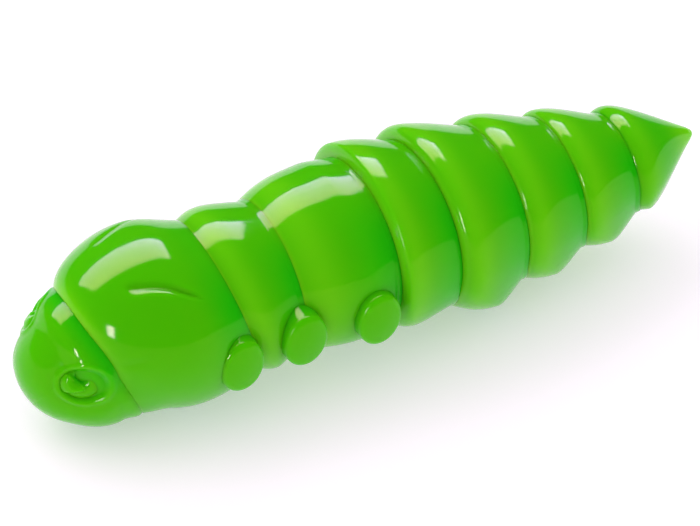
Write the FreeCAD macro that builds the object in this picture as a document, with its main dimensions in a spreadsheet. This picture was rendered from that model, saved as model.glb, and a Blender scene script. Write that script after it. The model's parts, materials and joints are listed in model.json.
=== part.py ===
"""Soft plastic larva-shaped trout bait, millimetres, +Z up.

The bait lies along X with its snout at -X and its tail tip at +X, so its own left side is at
-Y, and it stands on the plane Z = 0.  X = 0 is half way between snout and tail tip, and Y = 0
is the mirror plane.  Every section but the snout is turned about one long axis that runs along
X at axis_height.  A thin flex neck sits in each groove between two sections: it is the part of the
moulding that bends.
"""
import FreeCAD, Part
import math
import os
import Sketcher
from FreeCAD import Placement, Rotation, Vector

# Driving dimensions.  A name that ends in _at is a place along X.
DIMENSIONS = {
    "axis_height": 4.12,
    "neck_length": 0.8,
    "shoulder_rise": 0.10,
    "rear_rise": 0.08,
    # face
    "snout_tip_at": -16.0,
    "snout_radius": 2.88,
    "snout_drop": 0.70,
    "crease_at": -13.0,
    "hood_radius": 3.0,
    "eye_radius": 0.95,
    "eye_root": 2.15,
    "eye_crown_radius": 2.96,
    "eye_turn": 116.0,
    "eye_lift": 22.0,
    "notch_radius": 0.5,
    "notch_depth": 0.28,
    # grooves between the sections
    "groove_1_at": -6.85, "groove_1_radius": 3.46,
    "groove_2_at": -4.33, "groove_2_radius": 3.34,
    "groove_3_at": -0.16, "groove_3_radius": 3.68,
    "groove_4_at": 2.62, "groove_4_radius": 3.76,
    "groove_5_at": 6.01, "groove_5_radius": 3.54,
    "groove_6_at": 9.15, "groove_6_radius": 3.02,
    "groove_7_at": 12.12, "groove_7_radius": 2.32,
    # the widest place of each section
    "head_peak_at": -10.03, "head_peak_radius": 4.18,
    "thorax_front_peak_at": -5.95, "thorax_front_peak_radius": 3.71,
    "thorax_rear_peak_at": -1.40, "thorax_rear_peak_radius": 3.90,
    "abdomen_ring_1_peak_at": 1.00, "abdomen_ring_1_peak_radius": 4.20,
    "abdomen_ring_2_peak_at": 4.00, "abdomen_ring_2_peak_radius": 4.30,
    "abdomen_ring_3_peak_at": 7.20, "abdomen_ring_3_peak_radius": 3.78,
    "abdomen_ring_4_peak_at": 10.20, "abdomen_ring_4_peak_radius": 3.18,
    # tail cone
    "tail_peak_at": 12.90, "tail_peak_radius": 2.45,
    "tail_side_radius": 9.0,
    "tail_tip_at": 16.0,
    "tail_tip_radius": 0.3,
    # leg buds
    "leg_radius": 0.95,
    "leg_round": 0.3,
    "leg_front_at": -7.80, "leg_front_reach": 4.25,
    "leg_middle_at": -4.90, "leg_middle_reach": 4.25,
    "leg_rear_at": -1.80, "leg_rear_reach": 4.45,
}

SECTIONS = ["head", "thorax_front", "thorax_rear", "abdomen_ring_1", "abdomen_ring_2",
            "abdomen_ring_3", "abdomen_ring_4"]
LEGS = [("front", "head", "flex_neck_1"), ("middle", "thorax_front", "flex_neck_2"),
        ("rear", "thorax_rear", None)]
SIDES = {"left": -1, "right": 1}

doc = FreeCAD.newDocument("trout_bait")
sheet = doc.addObject("Spreadsheet::Sheet", "dims")
for row, (alias, value) in enumerate(DIMENSIONS.items(), start=1):
    sheet.set(f"A{row}", alias)
    sheet.set(f"B{row}", str(value))
    sheet.setAlias(f"B{row}", alias)
doc.recompute()


def size(expression):
    """Return the value of an expression over the sheet's cells."""
    return float(sheet.evalExpression(expression))


def new_body(name, start, height="dims.axis_height"):
    """Make a body whose own X axis lies along the bait, with its origin at the place start."""
    body = doc.addObject("PartDesign::Body", name)
    body.Label = name
    body.setExpression("Placement.Base.x", start)
    body.setExpression("Placement.Base.z", height)
    return body


def sketch_on(body, role):
    """Add a sketch on one of the body's origin planes."""
    plane = next(feature for feature in body.Origin.OriginFeatures if feature.Role == role)
    sketch = body.newObject("Sketcher::SketchObject", f"{body.Name}_{role}_sketch")
    sketch.AttachmentSupport = (plane, [""])
    sketch.MapMode = "FlatFace"
    return sketch


def bind(sketch, kind, *where):
    """Add a dimensional constraint, whose last item is the expression that drives it."""
    *places, expression = where
    index = sketch.addConstraint(Sketcher.Constraint(kind, *places, size(expression)))
    sketch.setExpression(f"Constraints[{index}]", expression)


def chain(sketch, joints):
    """Join curve ends in pairs: each joint is (curve, end, curve, end)."""
    for joint in joints:
        sketch.addConstraint(Sketcher.Constraint("Coincident", *joint))


def short_arc(sketch, left, right, centre):
    """Add the short arc from left to right and return its index and its two end numbers."""
    circle = Part.Circle(centre, Vector(0, 0, 1), (left - centre).Length)
    at_left = math.atan2(left.y - centre.y, left.x - centre.x)
    at_right = math.atan2(right.y - centre.y, right.x - centre.x)
    if centre.y < (left.y + right.y) / 2:
        return sketch.addGeometry(Part.ArcOfCircle(circle, at_right, at_left)), 2, 1
    return sketch.addGeometry(Part.ArcOfCircle(circle, at_left, at_right)), 1, 2


def level_arc_centre(level_end, other_end):
    """Centre of the arc through both points that runs level at level_end."""
    drop = level_end.y - other_end.y
    radius = ((level_end.x - other_end.x) ** 2 + drop ** 2) / (2 * drop)
    return Vector(level_end.x, level_end.y - radius)


def turn(body, sketch):
    """Revolve the sketch about the long axis."""
    turned = body.newObject("PartDesign::Revolution", f"{body.Name}_turned")
    turned.Profile = sketch
    turned.ReferenceAxis = (sketch, ["H_Axis"])
    turned.Angle = 360
    body.Tip = turned
    doc.recompute()


def waisted(name, start, end, front_radius, mid_at, mid_radius, rear_radius):
    """Turn a piece between two flat faces, its outline two arcs that meet level at mid_at.

    The middle is the widest place of a body section, or the narrowest of a flex neck.
    """
    body = new_body(name, start)
    sketch = sketch_on(body, "XZ_Plane")
    length = f"{end} - ({start})"
    mid_along = f"{mid_at} - ({start})"
    front = Vector(0, size(front_radius))
    mid = Vector(size(mid_along), size(mid_radius))
    rear = Vector(size(length), size(rear_radius))
    foot = Vector(rear.x, 0)
    face = sketch.addGeometry(Part.LineSegment(Vector(0, 0), front))
    rise, rise_left, rise_right = short_arc(sketch, front, mid, level_arc_centre(mid, front))
    fall, fall_left, fall_right = short_arc(sketch, mid, rear, level_arc_centre(mid, rear))
    back = sketch.addGeometry(Part.LineSegment(rear, foot))
    axis = sketch.addGeometry(Part.LineSegment(foot, Vector(0, 0)))
    chain(sketch, [(face, 1, -1, 1), (face, 2, rise, rise_left), (rise, rise_right, fall, fall_left),
                   (fall, fall_right, back, 1), (back, 2, axis, 1), (axis, 2, face, 1)])
    for constraint in (("Vertical", face), ("Vertical", back), ("Horizontal", axis),
                       ("Vertical", rise, 3, rise, rise_right),
                       ("Vertical", fall, 3, fall, fall_left)):
        sketch.addConstraint(Sketcher.Constraint(*constraint))
    bind(sketch, "DistanceY", face, 1, face, 2, front_radius)
    bind(sketch, "DistanceX", -1, 1, rise, rise_right, mid_along)
    bind(sketch, "DistanceY", -1, 1, rise, rise_right, mid_radius)
    bind(sketch, "DistanceX", -1, 1, back, 1, length)
    bind(sketch, "DistanceY", -1, 1, back, 1, rear_radius)
    turn(body, sketch)
    return body


def flatten_belly(body):
    """Cut the flat that the piece lies on wherever it would reach below Z = 0."""
    round_volume = body.Shape.Volume
    sketch = sketch_on(body, "YZ_Plane")
    widest = "dims.abdomen_ring_2_peak_radius"
    half_width = size(widest)
    top, bottom = -size("dims.axis_height"), -size("dims.axis_height") - half_width
    corners = [Vector(-half_width, top), Vector(half_width, top),
               Vector(half_width, bottom), Vector(-half_width, bottom)]
    lines = [sketch.addGeometry(Part.LineSegment(corners[i], corners[(i + 1) % 4]))
             for i in range(4)]
    chain(sketch, [(lines[i], 2, lines[(i + 1) % 4], 1) for i in range(4)])
    for constraint in (("Horizontal", lines[2]), ("Vertical", lines[1]), ("Vertical", lines[3]),
                       ("Symmetric", lines[0], 1, lines[0], 2, -2)):
        sketch.addConstraint(Sketcher.Constraint(*constraint))
    bind(sketch, "DistanceX", lines[0], 1, lines[0], 2, f"2 * {widest}")
    bind(sketch, "DistanceY", lines[1], 2, lines[1], 1, widest)
    bind(sketch, "DistanceY", lines[0], 1, -1, 1, "dims.axis_height")
    doc.recompute()
    flat = body.newObject("PartDesign::Pocket", f"{body.Name}_belly_flat")
    flat.Profile = sketch
    flat.Midplane = True
    flat.setExpression("Length", "dims.tail_tip_at - dims.snout_tip_at")
    body.Tip = flat
    doc.recompute()
    if body.Shape.Volume >= round_volume:
        raise RuntimeError(f"{body.Label} has no belly flat")


def groove(number):
    """Expressions for the place and the radius of a groove."""
    return f"dims.groove_{number}_at", f"dims.groove_{number}_radius"


def body_section(number, name):
    """Turn one body section, from the neck in front of it to the neck behind it."""
    rear_at, rear_radius = groove(number)
    if number == 1:
        start, front_radius = "dims.crease_at", "dims.hood_radius"
    else:
        front_at, front_radius = groove(number - 1)
        start = f"{front_at} + dims.neck_length / 2"
        front_radius += " + dims.shoulder_rise"
    section = waisted(name, start, f"{rear_at} - dims.neck_length / 2", front_radius,
                      f"dims.{name}_peak_at", f"dims.{name}_peak_radius",
                      f"{rear_radius} + dims.rear_rise")
    if size(f"dims.{name}_peak_radius") > size("dims.axis_height"):
        flatten_belly(section)
    return section


def flex_neck(number):
    """Turn the short waisted web that fills the groove between two sections."""
    at, radius = groove(number)
    return waisted(f"flex_neck_{number}", f"{at} - dims.neck_length / 2",
                   f"{at} + dims.neck_length / 2", f"{radius} + dims.rear_rise",
                   at, radius, f"{radius} + dims.shoulder_rise")


def tail_cone():
    """Turn the tail: a shoulder, a slightly bulging cone and a small round tip."""
    at, radius = groove(7)
    start = f"{at} + dims.neck_length / 2"
    body = new_body("tail_cone", start)
    sketch = sketch_on(body, "XZ_Plane")
    peak_along = f"dims.tail_peak_at - ({start})"
    length = f"dims.tail_tip_at - ({start})"
    tip_radius = size("dims.tail_tip_radius")
    front = Vector(0, size(f"{radius} + dims.shoulder_rise"))
    peak = Vector(size(peak_along), size("dims.tail_peak_radius"))
    tip_centre = Vector(size(length) - tip_radius, 0)
    slope = math.atan2(peak.y, tip_centre.x - peak.x)
    cone_end = tip_centre + Vector(math.sin(slope), math.cos(slope)) * tip_radius
    chord = cone_end - peak
    bulge_normal = Vector(chord.y, -chord.x).normalize()
    depth = math.sqrt(size("dims.tail_side_radius") ** 2 - (chord.Length / 2) ** 2)
    side_centre = (peak + cone_end) / 2 + bulge_normal * depth
    face = sketch.addGeometry(Part.LineSegment(Vector(0, 0), front))
    rise, rise_left, rise_right = short_arc(sketch, front, peak, level_arc_centre(peak, front))
    side, side_left, side_right = short_arc(sketch, peak, cone_end, side_centre)
    circle = Part.Circle(tip_centre, Vector(0, 0, 1), tip_radius)
    tip = sketch.addGeometry(Part.ArcOfCircle(circle, 0, math.pi / 2 - slope))
    axis = sketch.addGeometry(Part.LineSegment(tip_centre + Vector(tip_radius, 0), Vector(0, 0)))
    chain(sketch, [(face, 1, -1, 1), (face, 2, rise, rise_left), (rise, rise_right, side, side_left),
                   (tip, 1, axis, 1), (axis, 2, face, 1)])
    for constraint in (("Vertical", face), ("Horizontal", axis), ("PointOnObject", tip, 3, -1),
                       ("Vertical", rise, 3, rise, rise_right), ("Tangent", side, side_right, tip, 2)):
        sketch.addConstraint(Sketcher.Constraint(*constraint))
    bind(sketch, "DistanceY", face, 1, face, 2, f"{radius} + dims.shoulder_rise")
    bind(sketch, "DistanceX", -1, 1, rise, rise_right, peak_along)
    bind(sketch, "DistanceY", -1, 1, rise, rise_right, "dims.tail_peak_radius")
    bind(sketch, "Radius", side, "dims.tail_side_radius")
    bind(sketch, "Radius", tip, "dims.tail_tip_radius")
    bind(sketch, "DistanceX", -1, 1, axis, 1, length)
    turn(body, sketch)
    return body


def snout_blank():
    """Turn the ball-shaped face lobe, which sits low and is cut flat where it meets the hood."""
    body = new_body("snout_blank", "dims.snout_tip_at", "dims.axis_height - dims.snout_drop")
    sketch = sketch_on(body, "XZ_Plane")
    length = size("dims.crease_at - dims.snout_tip_at")
    radius = size("dims.snout_radius")
    crease = Vector(length, math.sqrt(radius ** 2 - (length - radius) ** 2))
    axis = sketch.addGeometry(Part.LineSegment(Vector(0, 0), Vector(length, 0)))
    face = sketch.addGeometry(Part.LineSegment(Vector(length, 0), crease))
    ball, ball_left, ball_right = short_arc(sketch, Vector(0, 0), crease, Vector(radius, 0))
    chain(sketch, [(axis, 1, -1, 1), (axis, 2, face, 1), (face, 2, ball, ball_right),
                   (ball, ball_left, axis, 1)])
    for constraint in (("Horizontal", axis), ("Vertical", face), ("PointOnObject", ball, 3, -1)):
        sketch.addConstraint(Sketcher.Constraint(*constraint))
    bind(sketch, "DistanceX", axis, 1, axis, 2, "dims.crease_at - dims.snout_tip_at")
    bind(sketch, "Radius", ball, "dims.snout_radius")
    turn(body, sketch)
    return body


def solid(kind, name, **properties):
    """Add a Part primitive or boolean; a text value is an expression."""
    thing = doc.addObject(kind, name)
    thing.Label = name
    for key, value in properties.items():
        if isinstance(value, str):
            thing.setExpression(key, value)
        else:
            setattr(thing, key, value)
    return thing


def eye_blank(name, side):
    """Make the peg with a crowned outer end that fills one eye socket.

    Its axis starts at the centre of the snout ball.  It turns eye_turn from straight back
    towards its own side, and lifts eye_lift above the level.
    """
    centre = "dims.snout_tip_at + dims.snout_radius"
    peg = solid("Part::Cylinder", f"{name}_peg", Radius="dims.eye_radius",
                Height="dims.eye_crown_radius - dims.eye_root")
    turned = math.radians(size("dims.eye_turn"))
    lifted = math.radians(size("dims.eye_lift"))
    outward = Vector(math.cos(turned) * math.cos(lifted),
                     side * math.sin(turned) * math.cos(lifted), math.sin(lifted))
    ball_centre = Vector(size(centre), 0, size("dims.axis_height - dims.snout_drop"))
    facing = Rotation(Vector(0, 0, 1), outward)
    peg.Placement = Placement(ball_centre + outward * size("dims.eye_root"), facing)
    crown = solid("Part::Sphere", f"{name}_crown", Radius="dims.eye_crown_radius")
    crown.Placement = Placement(ball_centre, Rotation())
    blank = solid("Part::Common", f"{name}_blank", Base=peg, Tool=crown)
    pit = solid("Part::Prism", f"{name}_pit", Polygon=3, Circumradius="dims.notch_radius",
                Height="dims.eye_crown_radius")
    pit_floor = size("dims.eye_crown_radius - dims.notch_depth")
    pit.Placement = Placement(ball_centre + outward * pit_floor, facing)
    return blank, solid("Part::Cut", name, Base=blank, Tool=pit)


def leg_bud(name, side, place, section, neck):
    """Make one round-ended leg bud, cut to sit on the section and neck under it."""
    blank = doc.addObject("PartDesign::Body", f"{name}_blank")
    blank.setExpression("Placement.Base.x", f"dims.leg_{place}_at")
    blank.setExpression("Placement.Base.z", "dims.axis_height")
    blank.Placement.Rotation = Rotation(Vector(0, 0, 1), 0 if side < 0 else 180)
    sketch = sketch_on(blank, "XZ_Plane")
    rim = sketch.addGeometry(Part.Circle(Vector(0, 0), Vector(0, 0, 1), size("dims.leg_radius")))
    sketch.addConstraint(Sketcher.Constraint("Coincident", rim, 3, -1, 1))
    bind(sketch, "Radius", rim, "dims.leg_radius")
    bud = blank.newObject("PartDesign::Pad", f"{name}_pad")
    bud.Profile = sketch
    bud.setExpression("Length", f"dims.leg_{place}_reach")
    blank.Tip = bud
    doc.recompute()
    outer = max(range(len(bud.Shape.Edges)),
                key=lambda i: abs(bud.Shape.Edges[i].BoundBox.Center.y)) + 1
    rounded = blank.newObject("PartDesign::Fillet", f"{name}_rounded")
    rounded.Base = (bud, [f"Edge{outer}"])
    rounded.setExpression("Radius", "dims.leg_round")
    blank.Tip = rounded
    doc.recompute()
    leg = solid("Part::Cut", f"{name}_on_section" if neck else name, Base=blank, Tool=section)
    if neck:
        leg = solid("Part::Cut", name, Base=leg, Tool=neck)
    return leg


def build_sub_parts():
    """Build every sub-part and return the finished objects by node name."""
    parts = {name: body_section(number, name) for number, name in enumerate(SECTIONS, start=1)}
    parts["tail_cone"] = tail_cone()
    for number in range(1, len(SECTIONS) + 1):
        parts[f"flex_neck_{number}"] = flex_neck(number)
    snout = snout_blank()
    for side_name, side in SIDES.items():
        name = f"eye_{side_name}"
        blank, parts[name] = eye_blank(name, side)
        snout = solid("Part::Cut", f"snout_without_{name}", Base=snout, Tool=blank)
        for place, section, neck in LEGS:
            name = f"leg_{place}_{side_name}"
            parts[name] = leg_bud(name, side, place, parts[section], parts.get(neck))
    snout.Label = "snout"
    parts["snout"] = snout
    doc.recompute()
    return parts


def check(parts):
    """Refuse a document with a failed object, or a sub-part that is not one valid solid."""
    for thing in doc.Objects:
        if "Invalid" in thing.State or "Error" in thing.State:
            raise RuntimeError(f"{thing.Name} failed: {thing.State}")
    for name, part in parts.items():
        if part.Shape.isNull() or not part.Shape.isValid() or len(part.Shape.Solids) != 1:
            raise RuntimeError(f"{name} is not one valid solid")


sub_parts = build_sub_parts()
check(sub_parts)
os.makedirs("parts", exist_ok=True)
for name, part in sub_parts.items():
    part.Shape.exportStep(f"parts/{name}.step")
whole = Part.makeCompound([part.Shape for part in sub_parts.values()])
print(len(sub_parts), "sub-parts, box", whole.optimalBoundingBox(), "volume", round(whole.Volume, 1))
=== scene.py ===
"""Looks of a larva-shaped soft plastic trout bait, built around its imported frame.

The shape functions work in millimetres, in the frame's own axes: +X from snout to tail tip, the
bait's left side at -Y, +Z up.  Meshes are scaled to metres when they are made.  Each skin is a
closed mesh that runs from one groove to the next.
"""
import json
import math

import bmesh
import bpy
import numpy as np
from mathutils import Matrix, Vector


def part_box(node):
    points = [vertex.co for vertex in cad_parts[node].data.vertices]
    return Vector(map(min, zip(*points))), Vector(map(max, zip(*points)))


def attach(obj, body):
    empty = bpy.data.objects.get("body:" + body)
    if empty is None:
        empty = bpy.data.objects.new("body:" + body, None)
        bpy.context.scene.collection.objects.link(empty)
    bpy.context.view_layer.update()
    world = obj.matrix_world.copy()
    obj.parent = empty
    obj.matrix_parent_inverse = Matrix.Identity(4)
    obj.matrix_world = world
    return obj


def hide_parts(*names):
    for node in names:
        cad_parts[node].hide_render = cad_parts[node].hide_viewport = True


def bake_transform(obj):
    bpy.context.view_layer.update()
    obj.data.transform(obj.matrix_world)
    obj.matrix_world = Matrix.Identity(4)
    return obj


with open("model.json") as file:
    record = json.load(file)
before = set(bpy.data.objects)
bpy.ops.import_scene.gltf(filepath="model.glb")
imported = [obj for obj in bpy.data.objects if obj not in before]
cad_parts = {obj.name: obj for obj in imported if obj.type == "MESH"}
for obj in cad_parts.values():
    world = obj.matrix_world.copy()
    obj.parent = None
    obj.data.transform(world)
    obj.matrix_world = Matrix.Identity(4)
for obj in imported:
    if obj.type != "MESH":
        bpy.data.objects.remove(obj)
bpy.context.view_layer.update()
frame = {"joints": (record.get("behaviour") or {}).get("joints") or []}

MM = 0.001
SIDES = {"left": -1, "right": 1}

# The frame's own places, in millimetres.
JOINTS = sorted(frame["joints"], key=lambda joint: joint["pos_m"][0])
AXIS_HEIGHT = JOINTS[0]["pos_m"][2] / MM
GROOVE_AT = [joint["pos_m"][0] / MM for joint in JOINTS]
NECK_FLARE = 0.10          # how much wider a flex neck is at its rear face than at its waist

SEGMENTS = 256             # round the body
SHARP_ANGLE = math.radians(50)


# ---------------------------------------------------------------- shape helpers

def smooth(value, low, high):
    """Smooth step from 0 at low to 1 at high; low may be above high."""
    share = np.clip((value - low) / (high - low), 0, 1)
    return share * share * (3 - 2 * share)


def bump(distance, width):
    """Bell curve of height 1."""
    return np.exp(-(distance / width) ** 2)


def bezier(start, pull_start, pull_end, end, count):
    """Rows along one cubic curve, its last point left out so that curves chain."""
    share = np.linspace(0, 1, count, endpoint=False)[:, None]
    points = [np.array(point, float) for point in (start, pull_start, pull_end, end)]
    return ((1 - share) ** 3 * points[0] + 3 * (1 - share) ** 2 * share * points[1]
            + 3 * (1 - share) * share ** 2 * points[2] + share ** 3 * points[3])


def half_width(node):
    """Half the width of a frame node."""
    low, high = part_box(node)
    return (high.y - low.y) / 2 / MM


def groove_radius(number):
    """Radius at the bottom of a groove; grooves are numbered from 1 behind the head."""
    return half_width(f"flex_neck_{number}") - NECK_FLARE


# The line that the sections are centred on rises and falls a little: (place along X, rise).
AXIS_RISE = [(-12.6, -0.30), (-10.4, 0.0), (-6.0, 0.12), (-2.4, 0.34), (0.6, 0.55), (4.0, 0.18),
             (7.2, 0.12), (10.2, 0.06), (13.0, 0.0), (16.0, 0.28)]
# Degrees that each groove's plane leans, its top towards the head.
GROOVE_LEAN = [15.0, 4.6, 2.1, 0.9, 1.3, 2.8, 3.5]
# Degrees that each groove's plane is turned, its left side towards the tail.
GROOVE_TURN = [0.0, 0.0, 2.1, 2.9, 2.3, 1.6, 1.7]
# How far each groove runs back under the belly.
BELLY_RUN = [0.0, 0.0, 0.1, 0.35, 0.55, 0.5, 0.5]
# How much deeper each crease is than the frame's groove.
CREASE = [0.01, -0.01, 0.02, 0.045, 0.04, 0.035, 0.03]
HOOD_LIP_AT = -12.6
HOOD_CREST_AT = -10.03
HOOD_LEAN = [24.5, 4.0]    # of the hood's lip and of its crest
TAIL_TIP_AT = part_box("tail_cone")[1].x / MM
BELLY_ROUND = 0.06          # how softly the skin meets the plane that the bait lies on


def eased(along, places, values):
    """Values at places along X, eased between them and level beyond them."""
    result = np.full_like(along, values[0])
    for i in range(len(places) - 1):
        result = result + (values[i + 1] - values[i]) * smooth(along, places[i], places[i + 1])
    return result


def axis_rise(along):
    """Height of the centre line over the frame's axis."""
    places, rises = zip(*AXIS_RISE)
    return eased(along, places, rises)


def at_grooves(along, values, hood=(0.0, 0.0), tip=0.0):
    """Eased values given for the hood's lip and crest, the grooves and the tail's tip."""
    places = [HOOD_LIP_AT, HOOD_CREST_AT, *GROOVE_AT, TAIL_TIP_AT]
    return eased(along, places, [*hood, *values, tip])


def slope(degrees):
    """Slope of an angle in degrees."""
    return np.tan(np.radians(degrees))


def place(along, radius, angle):
    """Points on the skin; angle is measured from straight up towards the left side."""
    height = radius * np.cos(angle)
    y = -radius * np.sin(angle)
    leaning = slope(at_grooves(along, GROOVE_LEAN, HOOD_LEAN, GROOVE_LEAN[-1]))
    turning = slope(at_grooves(along, GROOVE_TURN, tip=GROOVE_TURN[-1]))
    run = at_grooves(along, BELLY_RUN) * smooth(sideways(angle), 100, 150)
    x = along - leaning * height - turning * y + run
    z = AXIS_HEIGHT + axis_rise(along) + height
    z = BELLY_ROUND * np.logaddexp(0, z / BELLY_ROUND)
    return np.stack([x, y, z], -1)


def sideways(angle):
    """Degrees from straight up, 0 to 180, the same on both sides."""
    return np.degrees(np.abs((angle + math.pi) % (2 * math.pi) - math.pi))


def grid_normals(grid):
    """Outward unit normals of a grid of rows x points round."""
    along = np.gradient(grid, axis=0)
    around = np.roll(grid, -1, axis=1) - np.roll(grid, 1, axis=1)
    normal = np.cross(around, along)
    normal /= np.linalg.norm(normal, axis=-1, keepdims=True) + 1e-9
    return normal


def closed_grid(name, grid, ends, **attributes):
    """Make a closed mesh from rows of points round an axis and the two points that cap it."""
    rows, around = grid.shape[:2]
    points = np.concatenate([grid.reshape(-1, 3), np.array(ends, float)]) * MM
    index = np.arange(rows * around).reshape(rows, around)
    turned = np.roll(index, -1, axis=1)
    quads = np.stack([index[:-1], index[1:], turned[1:], turned[:-1]], -1).reshape(-1, 4)
    front, rear = rows * around, rows * around + 1
    faces = quads.tolist()
    faces += [(front, int(a), int(b)) for a, b in zip(index[0], turned[0])]
    faces += [(rear, int(b), int(a)) for a, b in zip(index[-1], turned[-1])]
    mesh = bpy.data.meshes.new(name)
    mesh.from_pydata(points.tolist(), [], faces)
    shaped = bmesh.new()
    shaped.from_mesh(mesh)
    bmesh.ops.recalc_face_normals(shaped, faces=shaped.faces)
    shaped.to_mesh(mesh)
    shaped.free()
    mesh.shade_smooth()
    mesh.set_sharp_from_angle(angle=SHARP_ANGLE)
    for key, values in attributes.items():
        stored = mesh.attributes.new(key, "FLOAT", "POINT")
        padded = np.append(values.reshape(-1), [0.0, 0.0]).astype(np.float32)
        stored.data.foreach_set("value", padded)
    piece = bpy.data.objects.new(name, mesh)
    bpy.context.scene.collection.objects.link(piece)
    return piece


# ---------------------------------------------------------------- body sections

CAP_DISH = 0.25            # how far the hidden end faces are dished, so that neighbours never touch
REAR_EDGE = 0.25           # length of the rounding of a section's rear edge
# Each section: node, body in front of its groove, own body, where its crest lies as a share of its
# length, on its back and on its belly, and how upright the front shoulder stands.
SECTIONS = [
    ("thorax_front", "head_body", "thorax_front_body", 0.38, 0.40, 0.0),
    ("thorax_rear", "thorax_front_body", "thorax_rear_body", 0.68, 0.70, 0.35),
    ("abdomen_ring_1", "thorax_rear_body", "ring_1_body", 0.10, 0.36, 1.0),
    ("abdomen_ring_2", "ring_1_body", "ring_2_body", 0.19, 0.62, 1.0),
    ("abdomen_ring_3", "ring_2_body", "ring_3_body", 0.18, 0.50, 0.9),
    ("abdomen_ring_4", "ring_3_body", "ring_4_body", 0.12, 0.46, 0.9),
]


def section_outline(number, crest_share, crest_radius, upright):
    """Rows (place along X, radius) from the front groove to the rear groove.

    An upright front shoulder stands as a step; one that is not at all upright rises evenly.
    """
    front_at, rear_at = GROOVE_AT[number], GROOVE_AT[number + 1]
    front_radius = groove_radius(number + 1) - CREASE[number]
    rear_radius = groove_radius(number + 2) - CREASE[number + 1]
    crest_at = front_at + crest_share * (rear_at - front_at)
    rise_length, step = crest_at - front_at, crest_radius - front_radius
    first_pull = (front_at + 0.03 + 0.3 * (1 - upright) * rise_length,
                  front_radius + (0.4 + 0.25 * upright) * step)
    shoulder = bezier((front_at, front_radius), first_pull,
                      (crest_at - 0.5 * rise_length, crest_radius), (crest_at, crest_radius), 50)
    edge = (rear_at - REAR_EDGE, rear_radius + 1.3 * CREASE[number + 1])
    fall_length, fall = edge[0] - crest_at, crest_radius - edge[1]
    taper = bezier((crest_at, crest_radius), (crest_at + 0.25 * fall_length, crest_radius),
                   (edge[0] - 0.35 * fall_length, edge[1] + 0.40 * fall), edge, 40)
    rounding = bezier(edge, (edge[0] + 0.5 * REAR_EDGE, edge[1] - 0.4 * CREASE[number + 1]),
                      (rear_at - 0.02, rear_radius + 0.6 * CREASE[number + 1]),
                      (rear_at, rear_radius), 12)
    return np.concatenate([shoulder, taper, rounding, [(rear_at, rear_radius)]])


def around_body(back, belly, segments, start, end):
    """Blend an outline for the back into one for the belly, between two angles from straight up.

    Returns places along X, radii and angles.
    """
    angle = np.linspace(0, 2 * math.pi, segments, endpoint=False)
    share = smooth(sideways(angle), start, end)[None, :, None]
    rows = back[:, None, :] * (1 - share) + belly[:, None, :] * share
    return rows[..., 0], rows[..., 1], np.repeat(angle[None, :], len(back), axis=0)


def shade_share(along, angle, front_at, rear_at):
    """How much painted shade a section gets: most towards its rear, on its sides, a little at its front
    groove.
    """
    share = (along - front_at) / (rear_at - front_at)
    side = smooth(np.abs(np.sin(angle)), 0.15, 0.85)
    return smooth(share, 0.35, 1.0) * side + 0.1 * smooth(share, 0.06, 0.0)


def finish_piece(piece, *nodes):
    """Give a piece its material, and let it stand for frame nodes by hiding them."""
    piece.data.materials.append(PLASTIC)
    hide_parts(*nodes)


def bend_with(piece, number):
    """Bake a skin's place into its mesh; the place of the joint in its front groove is worked out but
    not used.
    """
    start = Vector(JOINTS[number]["pos_m"])
    start.z += float(axis_rise(np.array(GROOVE_AT[number]))) * MM
    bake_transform(piece)


def section_skin(number, node, front_body, own_body, back_share, belly_share, upright):
    """Make the skin of one body section."""
    front_at, rear_at = GROOVE_AT[number], GROOVE_AT[number + 1]
    back = section_outline(number, back_share, half_width(node), upright)
    belly = section_outline(number, belly_share, half_width(node), 0.3 * upright)
    along, radius, angles = around_body(back, belly, SEGMENTS, 95, 150)
    grid = place(along, radius, angles)
    ends = [grid[0].mean(0) + (CAP_DISH, 0, 0), grid[-1].mean(0) - (CAP_DISH, 0, 0)]
    # Painted shade: deeper green towards the section's rear and on its sides.
    deep = shade_share(along, angles, front_at, rear_at)
    # Painted light: lighter green on the front shoulder and at both grooves, offsetting the shade there.
    share = (along - front_at) / (rear_at - front_at)
    thin = 0.5 * bump(share - 0.2, 0.2) + 0.5 * smooth(share, 0.05, 0.0) + 0.5 * smooth(share, 0.97, 1.0)
    piece = closed_grid(f"{node}_skin", grid, ends, deep=deep, thin=thin)
    finish_piece(piece, node, f"flex_neck_{number + 1}")
    bend_with(piece, number)


TAIL_CREST_LENGTH = 0.45
TAIL_BACK = (2.46, 0.25)    # radius of the crest, and how far its level line pulls the side out
TAIL_BELLY = (2.32, 0.10)
TAIL_TIP_RADIUS = 0.30
TAIL_END_SLOPE = 0.68


def tail_outline(crest_radius, bulge):
    """Rows of the tail's outline: a low shoulder, a slightly bulging cone and a small round tip."""
    front_at = GROOVE_AT[-1]
    front_radius = groove_radius(len(GROOVE_AT)) - CREASE[-1]
    crest_at = front_at + TAIL_CREST_LENGTH
    shoulder = bezier((front_at, front_radius), (front_at + 0.04, crest_radius - 0.1),
                      (crest_at - 0.2, crest_radius), (crest_at, crest_radius), 30)
    cone_end = (TAIL_TIP_AT - TAIL_TIP_RADIUS * 0.7, TAIL_TIP_RADIUS)
    length = cone_end[0] - crest_at
    side = bezier((crest_at, crest_radius), (crest_at + bulge * length, crest_radius),
                  (cone_end[0] - 0.3 * length, cone_end[1] + 0.3 * length * TAIL_END_SLOPE),
                  cone_end, 60)
    tip = bezier(cone_end, (TAIL_TIP_AT - 0.1, cone_end[1] - 0.12), (TAIL_TIP_AT, 0.16),
                 (TAIL_TIP_AT, 0.02), 14)
    return np.concatenate([shoulder, side, tip, [(TAIL_TIP_AT, 0.02)]])


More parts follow.
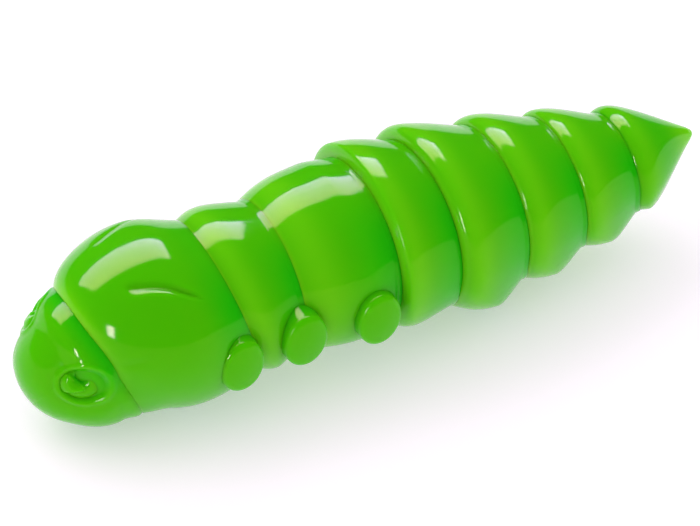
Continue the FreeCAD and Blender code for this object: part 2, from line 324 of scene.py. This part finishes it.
def tail_skin():
    """Make the pointed tail, a little fuller on its back than on its belly."""
    number = len(SECTIONS)
    front_at = GROOVE_AT[number]
    back, belly = tail_outline(*TAIL_BACK), tail_outline(*TAIL_BELLY)
    along, radius, angles = around_body(back, belly, SEGMENTS, 80, 150)
    grid = place(along, radius, angles)
    ends = [grid[0].mean(0) + (CAP_DISH, 0, 0), grid[-1].mean(0)]
    # Painted shade just behind the front groove and in a band near the tail's end; painted light on the
    # shoulder and over the thin tip.
    deep = 0.5 * smooth(along, front_at + 0.1, front_at) + 0.35 * bump(along - 14.0, 1.0)
    thin = 0.4 * bump(along - front_at - 0.7, 0.6) + smooth(along, 14.0, TAIL_TIP_AT)
    piece = closed_grid("tail_cone_skin", grid, ends, deep=deep, thin=thin)
    finish_piece(piece, "tail_cone", f"flex_neck_{number + 1}")
    bend_with(piece, number)


# ---------------------------------------------------------------- head

HOOD_MOUTH = 1.98          # radius of the hidden inner edge behind the hood's lip
HOOD_BACK_LIP = 2.72       # radius of the lip's outer edge on the back
HOOD_BELLY_LIP = 3.42      # and on the belly
RIGHT_DENT_SHARE = 0.4      # how deep the right cheek's dent is, as a share of the left one
HOOD_BLEND = (55, 140)      # degrees from straight up between which the back turns into the belly


def hood_outline(lip, inner, shoulder, crest, rear_pull):
    """Rows from inside the hood's mouth, round its lip and over its dome to the first groove.

    Lip, inner and crest are radii; shoulder and rear_pull are the pulls of the dome's two curves.
    """
    rear = (GROOVE_AT[0], groove_radius(1) - CREASE[0])
    edge = (HOOD_LIP_AT + 0.05, lip)
    mouth = bezier((HOOD_LIP_AT + 0.9, inner - 0.1), (HOOD_LIP_AT + 0.3, inner - 0.1),
                   (HOOD_LIP_AT, inner - 0.08), (HOOD_LIP_AT, inner), 12)
    rim = bezier((HOOD_LIP_AT, inner), (HOOD_LIP_AT, lip - 0.12), (HOOD_LIP_AT, lip - 0.06), edge, 20)
    middle = (HOOD_CREST_AT + 0.2, crest)
    dome = bezier(edge, *shoulder, middle, 90)
    back = bezier(middle, *rear_pull, rear, 80)
    return np.concatenate([mouth, rim, dome, back, [rear]])


def head_skin():
    """Make the hood: a rim that leans over the face, a nearly ball-shaped dome and its cheek dents."""
    crest = half_width("head")
    belly_crest, belly_rear = crest - 0.21, crest - 0.06
    back = hood_outline(HOOD_BACK_LIP, HOOD_MOUTH, [(-12.1, 3.35), (-11.2, crest)], crest,
                        [(-8.9, crest), (-7.9, 3.85)])
    belly = hood_outline(HOOD_BELLY_LIP, HOOD_BELLY_LIP - 0.08, [(-11.7, 3.58), (-10.9, 3.73)],
                         belly_crest, [(-9.2, belly_rear), (-8.2, belly_rear)])
    along, radius, angles = around_body(back, belly, SEGMENTS * 3 // 2, *HOOD_BLEND)
    grid = place(along, radius, angles)
    degrees = sideways(angles)
    grid = grid + grid_normals(grid) * cheek_dents(along, angles)[..., None]
    ends = [grid[0].mean(0) + (0.3, 0, 0), grid[-1].mean(0) - (CAP_DISH, 0, 0)]
    # Painted shade towards the rear groove, stronger on the sides; painted light along the hood's lip,
    # mostly on its back.
    deep = smooth(along, -9.2, GROOVE_AT[0]) * (0.3 + 0.7 * smooth(degrees, 15, 60))
    thin = bump(along - HOOD_LIP_AT, 0.35) * smooth(degrees, 100, 20)
    piece = closed_grid("head_skin", grid, ends, deep=deep, thin=thin)
    finish_piece(piece, "head")
    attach(piece, "head_body")


def cheek_dents(along, angle):
    """Depth of the long pointed dent on each cheek and of the dimple under it, in millimetres."""
    degrees = sideways(angle)
    start, end = (-11.2, 22.0), (-8.2, 46.0)
    share = np.clip((along - start[0]) / (end[0] - start[0]), 0, 1)
    middle = start[1] + share * (end[1] - start[1])
    across = np.radians(degrees - middle) * 4.0
    width = 0.10 + 0.16 * (1 - share)
    ends = smooth(share, 0.0, 0.12) * smooth(share, 1.0, 0.6)
    long_dent = 0.18 * bump(across, width) * ends
    dimple = 0.05 * bump(along + 11.8, 0.45) * bump(np.radians(degrees - 70) * 4.0, 0.25)
    return -long_dent * np.where(np.sin(angle) > 0, 1.0, RIGHT_DENT_SHARE) - dimple


# ---------------------------------------------------------------- snout

FACE_LEAN = HOOD_LEAN[0]   # degrees that the face's axis rises towards the tail
# Each eye's direction: degrees from straight back towards its own side, and degrees up.
EYE_PLACES = {"left": (114.0, 12.0), "right": (124.0, 34.0)}
EYE_OVAL = (1.08, 0.86)    # half the length and half the height of an eye socket
EYE_DEPTH = 0.17           # of a socket
EYE_FLAT = 0.22            # how far the face is flattened round each eye
FACE_END = 112             # degrees from the snout's tip to the skin's hidden rear edge
BROW = 0.22                # how far the face is flattened over its front, and raised at the hood


def eye_axes(side_name):
    """Outward direction of an eye and two directions across it: forwards and up."""
    turned, lifted = (math.radians(degrees) for degrees in EYE_PLACES[side_name])
    side = SIDES[side_name]
    outward = np.array([math.cos(turned) * math.cos(lifted),
                        side * math.sin(turned) * math.cos(lifted), math.sin(lifted)])
    upward = np.array([0, 0, 1]) - outward * outward[2]
    upward /= np.linalg.norm(upward)
    forward = np.cross(outward, upward) * side
    return outward, forward, upward


def face_axes():
    """Directions along the face's axis, backwards, and across it, upwards."""
    lean = math.radians(FACE_LEAN)
    return np.array([math.cos(lean), 0, math.sin(lean)]), np.array([-math.sin(lean), 0, math.cos(lean)])


def snout_frame():
    """Centre and radius of the face ball."""
    low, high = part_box("snout")
    radius = half_width("snout")
    return np.array([low.x / MM + radius, 0, (low.z + high.z) / 2 / MM]), radius


def eye_distance(directions, radius, side_name):
    """Distance from an eye's centre as a share of its socket's size, far for the other side."""
    outward, forward, upward = eye_axes(side_name)
    distance = radius * np.hypot(directions @ forward / EYE_OVAL[0], directions @ upward / EYE_OVAL[1])
    return np.where(directions @ outward > 0, distance, 9.0)


def face_relief(directions, radius):
    """Height over the face ball: flatter cheeks, raised eye rims and the sockets inside them."""
    height = np.zeros(directions.shape[:2])
    for side_name in SIDES:
        distance = eye_distance(directions, radius, side_name)
        height = height - EYE_FLAT * bump(distance, 1.6)
        height = height + 0.06 * bump(distance - 1.12, 0.13)
        height = height - EYE_DEPTH * smooth(distance, 1.04, 0.84)
    return height


def throat_fullness(around, centre, radius):
    """How much fuller than a ball the face is where it meets the hood's lip."""
    angle = np.linspace(0, math.pi, 91)
    share = smooth(np.degrees(angle), *HOOD_BLEND)
    lip_radius = HOOD_BACK_LIP + (HOOD_BELLY_LIP - HOOD_BACK_LIP) * share
    lip = place(np.full_like(angle, HOOD_LIP_AT), lip_radius, angle) - centre
    turned = np.degrees(np.arctan2(-lip[:, 1], lip @ face_axes()[1]))
    fullness = np.interp(sideways(around), turned, np.linalg.norm(lip, axis=1) - radius)
    return fullness * smooth(sideways(around), 76, 104)


def snout_skin():
    """Make the face: a ball whose axis leans, with a fuller throat and two eye sockets."""
    centre, radius = snout_frame()
    backward, upward = face_axes()
    polar = np.radians(np.linspace(0.4, FACE_END, 200))[:, None]
    around = np.linspace(0, 2 * math.pi, 360, endpoint=False)[None, :]
    across = np.stack([0 * around, -np.sin(around), 0 * around], -1) + upward * np.cos(around)[..., None]
    directions = -backward * np.cos(polar)[..., None] + across * np.sin(polar)[..., None]
    degrees = np.degrees(polar)
    low = smooth(sideways(around), 70, 110)
    throat = throat_fullness(around, centre, radius)
    throat = throat * (0.6 * smooth(degrees, 40, 92) + 0.4 * smooth(degrees, 88, 100))
    brow = BROW * (1 - low) * (smooth(degrees, 70, 90) - 0.65 * bump(degrees - 60, 26))
    tuck = 0.4 * smooth(degrees, 105, FACE_END)
    reach = radius + face_relief(directions, radius) + throat + brow - tuck
    grid = centre + directions * reach[..., None]
    grid[..., 2] = BELLY_ROUND * np.logaddexp(0, grid[..., 2] / BELLY_ROUND)
    ends = [grid[0].mean(0), grid[-1].mean(0)]
    # Painted shade in the valley under the hood's lip, on the upper half of the face, and in both eye
    # sockets.
    deep = 0.9 * smooth(degrees, 84, 103) * (1 - low)
    for side_name in SIDES:
        deep = deep + 0.5 * smooth(eye_distance(directions, radius, side_name), 1.05, 0.85)
    piece = closed_grid("snout_skin", grid, ends, deep=np.clip(deep, 0, 1), thin=0 * deep)
    finish_piece(piece, "snout")
    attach(piece, "head_body")


def eye_skin(side_name):
    """Make one eye: a low dome with a wedge-shaped cut, set in its socket."""
    centre, radius = snout_frame()
    outward, forward, upward = eye_axes(side_name)
    rows = np.linspace(0.01, 1.0, 60)[:, None]
    around = np.linspace(0, 2 * math.pi, 120, endpoint=False)[None, :]
    across_forward = (EYE_OVAL[0] - 0.10) * rows * np.cos(around)
    across_up = (EYE_OVAL[1] - 0.10) * rows * np.sin(around)
    height = -EYE_FLAT - 0.04 - 0.20 * rows ** 5 + 0 * around + eye_cut(across_forward, across_up)
    on_ball = radius - (across_forward ** 2 + across_up ** 2) / (2 * radius)
    top = (centre + outward * (on_ball + height)[..., None] + forward * across_forward[..., None]
           + upward * across_up[..., None])
    wall = top[-1] - outward * 0.25
    grid = np.concatenate([top, [wall]])
    ends = [grid[0].mean(0), grid[-1].mean(0)]
    cut = np.concatenate([eye_cut(across_forward, across_up), np.zeros((1, 120))])
    # Painted shade in the eye's wedge-shaped cut, deepest where the cut is deepest.
    deep = np.clip(-cut / 0.2, 0, 1)
    piece = closed_grid(f"eye_{side_name}_skin", grid, ends, deep=deep, thin=0 * deep)
    finish_piece(piece, f"eye_{side_name}")
    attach(piece, "head_body")


def eye_cut(forward, up):
    """Depth of the wedge-shaped cut: deep above, with a low ridge that points forwards below it."""
    hollow = -0.30 * bump(forward + 0.15, 0.32) * bump(up - 0.25, 0.32)
    along_ridge = -forward + 0.1
    spread = np.clip(along_ridge, 0, 1) * 0.5
    ridge = 0.12 * smooth(np.abs(up + 0.15 - 0.3 * along_ridge), spread + 0.12, spread)
    return hollow + ridge * smooth(along_ridge, 0.0, 0.15)


# ---------------------------------------------------------------- leg buds

# Each pair of buds: its place, its body, and how much further back and lower than in the frame the
# buds sit.
LEGS = [
    ("front", "head_body", 0.14, 0.50),
    ("middle", "thorax_front_body", 0.20, 0.37),
    ("rear", "thorax_rear_body", 0.46, 0.58),
]
LEG_EDGE_ROUND = 0.26
LEG_CROWN = 0.10
LEG_OVAL = (1.05, 1.36)    # shares of the frame's leg radius along the body and up


def leg_skin(place_name, body, shift, drop, side_name, side):
    """Make one short oval leg bud with a rounded rim and a slightly domed end."""
    node = f"leg_{place_name}_{side_name}"
    low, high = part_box(node)
    centre = (low + high) / 2 / MM
    tip = max(abs(low.y), abs(high.y)) / MM
    radius = (high.z - low.z) / 2 / MM
    flat = radius - LEG_EDGE_ROUND
    edge = tip - LEG_CROWN
    wall = bezier((tip - 1.6, radius + 0.08), (tip - 1.1, radius + 0.06), (edge - 0.6, radius),
                  (edge - LEG_EDGE_ROUND, radius), 16)
    rim = bezier((edge - LEG_EDGE_ROUND, radius), (edge - 0.45 * LEG_EDGE_ROUND, radius),
                 (edge - 0.02, flat + 0.55 * LEG_EDGE_ROUND), (edge, flat), 16)
    crown = bezier((edge, flat), (tip - 0.03, flat * 0.66), (tip, flat * 0.33), (tip, 0.02), 16)
    outline = np.concatenate([wall, rim, crown])
    around = np.linspace(0, 2 * math.pi, 96, endpoint=False)[None, :]
    out, reach = outline[:, :1], outline[:, 1:]
    rise = float(axis_rise(np.array(centre.x))) - drop
    x = centre.x + shift + LEG_OVAL[0] * reach * np.cos(around)
    z = centre.z + rise + LEG_OVAL[1] * reach * np.sin(around)
    grid = np.stack([x, side * out + 0 * around, np.maximum(z, 0.02)], -1)
    ends = [grid[0].mean(0), grid[-1].mean(0)]
    # Painted shade towards the bud's root, where it meets the body.
    deep = 0.6 * smooth(out, tip - 0.25, tip - 0.8) + 0 * around
    piece = closed_grid(f"{node}_skin", grid, ends, deep=deep, thin=0 * deep)
    finish_piece(piece, node)
    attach(piece, body)


# ---------------------------------------------------------------- materials

def linear(red, green, blue):
    """Colour given as 0 to 255 display values, as the shader wants it."""
    values = [channel / 255 for channel in (red, green, blue)]
    return [c / 12.92 if c <= 0.04045 else ((c + 0.055) / 1.055) ** 2.4 for c in values] + [1.0]


def add_node(tree, kind, **settings):
    """Add a shader node; a setting is an attribute, or an input if it names one."""
    node = tree.nodes.new(kind)
    for key, value in settings.items():
        if hasattr(node, key):
            setattr(node, key, value)
        else:
            node.inputs[key].default_value = value
    return node


def mixed(tree, factor, first, second):
    """Mix two colours, or the result of another mix and a colour, by a factor socket."""
    node = add_node(tree, "ShaderNodeMix", data_type="RGBA")
    tree.links.new(factor, node.inputs[0])
    for socket, value in ((node.inputs[6], first), (node.inputs[7], second)):
        if isinstance(value, list):
            socket.default_value = value
        else:
            tree.links.new(value, socket)
    return node.outputs[2]


BODY_GREENS = [(76, 183, 5), (62, 180, 5)]
# Painted light: a lighter, yellower green on the tail's tip, the hood's lip, the front shoulders and the
# groove edges.
PAINTED_LIGHT_GREEN = (112, 204, 16)
# Painted shade: the deeper green laid into grooves, hollows, eye sockets and on the sides.
PAINTED_SHADE_GREEN = (28, 182, 8)
CLOUD_SHARE = 0.35         # how far the body's green wanders from the first towards the second
GLOSS = (0.05, 0.13)       # lowest and highest roughness


def soft_plastic():
    """Glossy, slightly translucent green soft plastic: painted shade makes its green deeper in its
    hollows.
    """
    material = bpy.data.materials.new("soft_plastic_green")
    material.use_nodes = True
    tree = material.node_tree
    shader = tree.nodes["Principled BSDF"]
    cloud = noise_on_object(tree, 260.0, 2.0)
    grain = noise_on_object(tree, 2600.0, 3.0)
    tree.links.new(clouded_green(tree, cloud), shader.inputs["Base Color"])
    tree.links.new(spread(tree, grain, *GLOSS), shader.inputs["Roughness"])
    relief = add_node(tree, "ShaderNodeBump", Strength=0.25, Distance=0.000004)
    tree.links.new(grain, relief.inputs["Height"])
    tree.links.new(relief.outputs["Normal"], shader.inputs["Normal"])
    shader.inputs["IOR"].default_value = 1.30
    shader.inputs["Specular Tint"].default_value = (1.0, 0.9, 0.12, 1.0)
    shader.inputs["Subsurface Weight"].default_value = 0.6
    shader.inputs["Subsurface Radius"].default_value = (0.5, 1.0, 0.15)
    shader.inputs["Subsurface Scale"].default_value = 0.8 * MM
    return material


def noise_on_object(tree, scale, detail):
    """Add a noise that is fixed to the object."""
    place_node = add_node(tree, "ShaderNodeTexCoord")
    noise = add_node(tree, "ShaderNodeTexNoise", Scale=scale, Detail=detail)
    tree.links.new(place_node.outputs["Object"], noise.inputs["Vector"])
    return noise.outputs["Fac"]


def spread(tree, value, low, high):
    """Spread a value from 0 to 1 over another range."""
    node = add_node(tree, "ShaderNodeMapRange")
    node.inputs["To Min"].default_value = low
    node.inputs["To Max"].default_value = high
    tree.links.new(value, node.inputs["Value"])
    return node.outputs[0]


def clouded_green(tree, cloud):
    """Add the body's green: clouded, yellower with painted light and deeper with painted shade, as the
    skins' attributes say.
    """
    first, second = (linear(*green) for green in BODY_GREENS)
    colour = mixed(tree, spread(tree, cloud, 0.0, CLOUD_SHARE), first, second)
    # Painted light first, then painted shade, mixed over the clouded green by the skins' attributes.
    for attribute, green in (("thin", PAINTED_LIGHT_GREEN), ("deep", PAINTED_SHADE_GREEN)):
        amount = add_node(tree, "ShaderNodeAttribute", attribute_name=attribute)
        colour = mixed(tree, amount.outputs["Fac"], colour, linear(*green))
    return colour


def floor_material():
    """Plain pale matt paper, a little lit from below."""
    material = bpy.data.materials.new("pale_paper")
    material.use_nodes = True
    shader = material.node_tree.nodes["Principled BSDF"]
    shader.inputs["Base Color"].default_value = (0.80, 0.69, 0.79, 1.0)
    shader.inputs["Emission Color"].default_value = (1.0, 1.0, 1.0, 1.0)
    shader.inputs["Emission Strength"].default_value = 0.34
    shader.inputs["Roughness"].default_value = 0.9
    shader.inputs["Specular IOR Level"].default_value = 0.1
    return material


# ---------------------------------------------------------------- studio

VIEW_TARGET = (-0.5, 0.0, 3.46)
VIEW_AZIMUTH = -29.5
VIEW_ELEVATION = 41.0
VIEW_ROLL = 1.8
VIEW_DISTANCE = 305.0
VIEW_WIDTH = 29.31         # width of the picture at the target


def add_camera():
    """Add the camera, above the bait's left front."""
    turned, lifted = math.radians(VIEW_AZIMUTH), math.radians(VIEW_ELEVATION)
    back = Vector((math.sin(turned) * math.cos(lifted), -math.cos(turned) * math.cos(lifted),
                   math.sin(lifted)))
    data = bpy.data.cameras.new("camera")
    data.sensor_width = 36
    data.lens = data.sensor_width * VIEW_DISTANCE / VIEW_WIDTH
    data.clip_start = 0.01
    camera = bpy.data.objects.new("camera", data)
    bpy.context.scene.collection.objects.link(camera)
    facing = back.to_track_quat("Z", "Y").to_matrix().to_4x4()
    rolled = Matrix.Rotation(math.radians(VIEW_ROLL), 4, "Z")
    camera.matrix_world = (Matrix.Translation((Vector(VIEW_TARGET) + back * VIEW_DISTANCE) * MM)
                           @ facing @ rolled)
    bpy.context.scene.camera = camera


SOFTBOX_AT = (0.0, 0.36, 0.50)
WHITE = (1.0, 1.0, 1.0)
MATT_LIGHT_AT = (-0.25, 0.40, 0.50)
FRONT_LIGHT_AT = (-0.49, -0.32, 0.13)
# The plastic mirrors little blue, so lights of these colours look white in it.
GLOW = (1.0, 0.66, 2.0)
FRONT_GLOW = (0.7, 0.55, 4.0)


def add_panel(name, centre, width, depth, radiance, colour, matt):
    """Add one soft light that faces the bait; it lights either matt surfaces or glossy ones."""
    data = bpy.data.lights.new(name, "AREA")
    data.color = colour
    data.shape = "RECTANGLE"
    data.size = width
    data.size_y = depth
    data.energy = radiance * math.pi * width * depth
    panel = bpy.data.objects.new(name, data)
    bpy.context.scene.collection.objects.link(panel)
    centre = Vector(centre)
    panel.matrix_world = Matrix.Translation(centre) @ centre.to_track_quat("Z", "Y").to_matrix().to_4x4()
    panel.visible_camera = False
    panel.visible_glossy = not matt
    panel.visible_diffuse = matt


def add_studio():
    """Light the bait on a plain pale floor with a large softbox behind it and a small one in front."""
    add_panel("softbox", MATT_LIGHT_AT, 0.90, 0.40, 1.5, WHITE, matt=True)
    add_panel("softbox_glow", SOFTBOX_AT, 0.90, 0.38, 14.0, GLOW, matt=False)
    add_panel("front_light", FRONT_LIGHT_AT, 0.08, 0.20, 55.0, FRONT_GLOW, matt=False)
    bpy.ops.mesh.primitive_plane_add(size=6.0)
    floor = bpy.context.object
    floor.name = "floor"
    floor.data.materials.append(floor_material())
    set_world()


def set_world():
    """Light the matt surfaces evenly from all round, in front of a white backdrop."""
    world = bpy.data.worlds.new("studio")
    world.use_nodes = True
    tree = world.node_tree
    backdrop = tree.nodes["Background"]
    backdrop.inputs["Color"].default_value = (1.0, 1.0, 1.0, 1.0)
    room = add_node(tree, "ShaderNodeBackground", Color=(0.92, 0.92, 0.92, 1.0))
    dark_room = add_node(tree, "ShaderNodeBackground", Color=(0.02, 0.02, 0.02, 1.0))
    path = add_node(tree, "ShaderNodeLightPath")
    unseen = add_node(tree, "ShaderNodeMixShader")
    shown = add_node(tree, "ShaderNodeMixShader")
    tree.links.new(path.outputs["Is Glossy Ray"], unseen.inputs[0])
    tree.links.new(room.outputs[0], unseen.inputs[1])
    tree.links.new(dark_room.outputs[0], unseen.inputs[2])
    tree.links.new(path.outputs["Is Camera Ray"], shown.inputs[0])
    tree.links.new(unseen.outputs[0], shown.inputs[1])
    tree.links.new(backdrop.outputs[0], shown.inputs[2])
    tree.links.new(shown.outputs[0], tree.nodes["World Output"].inputs["Surface"])
    bpy.context.scene.world = world
    bpy.context.scene.view_settings.view_transform = "Standard"


# ---------------------------------------------------------------- the bait

PLASTIC = soft_plastic()
add_camera()
snout_skin()
head_skin()
for number, section in enumerate(SECTIONS):
    section_skin(number, *section)
tail_skin()
for side_name, side in SIDES.items():
    eye_skin(side_name)
    for leg in LEGS:
        leg_skin(*leg, side_name, side)
add_studio()
